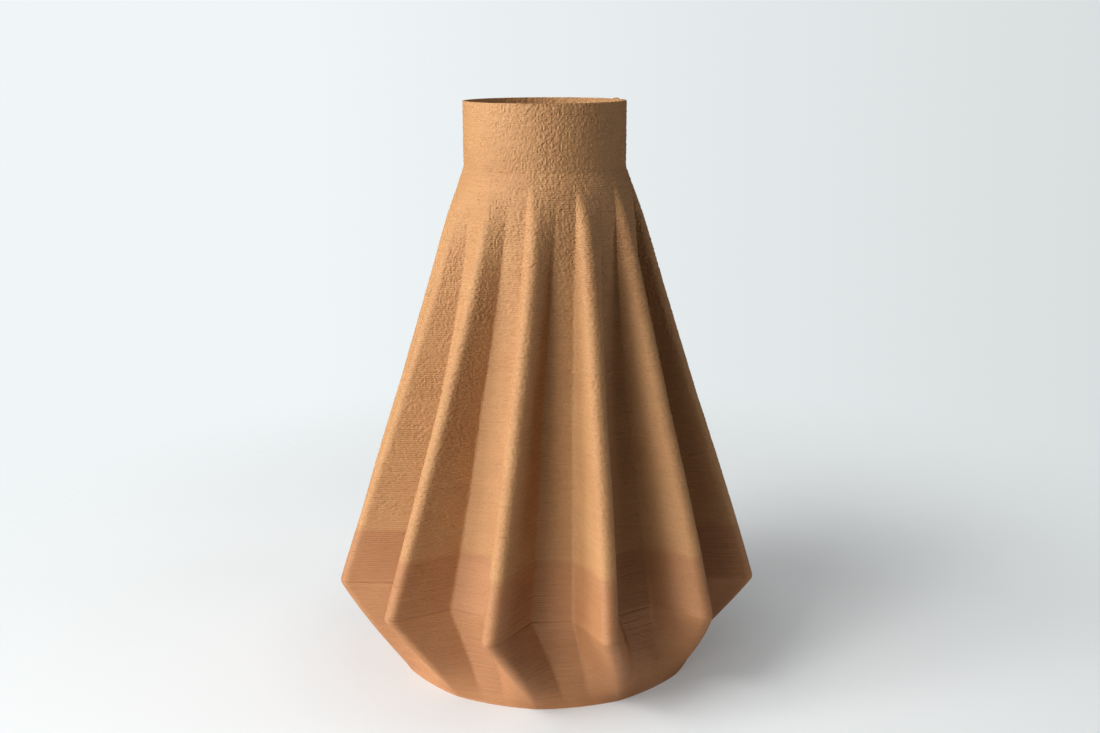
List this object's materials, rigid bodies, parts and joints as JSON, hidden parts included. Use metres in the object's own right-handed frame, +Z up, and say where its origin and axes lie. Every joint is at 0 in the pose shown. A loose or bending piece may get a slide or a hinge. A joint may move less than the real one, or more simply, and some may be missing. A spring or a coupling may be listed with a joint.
{
  "type": "pleated vase",
  "caption": "Tall pleated vase printed in level layers: flared ridged body, long taper, plain straight collar, closed flat foot and an open mouth.",
  "frame": {"origin": "centre of the flat underside, on the surface that the vase stands on", "axes": "+Z up along the vase's axis, -Y towards the front"},
  "size_m": [0.1492, 0.1492, 0.2002],
  "materials": {
    "red_brown_filament": "matte, fine level layer lines",
    "tan_filament": "matte, fine level layer lines under a pebbled grain"
  },
  "bodies": {
    "root": {"closed_foot": "red_brown_filament", "lower_wall": "red_brown_filament", "upper_wall": "tan_filament", "neck_collar": "tan_filament"}
  },
  "joints": []
}
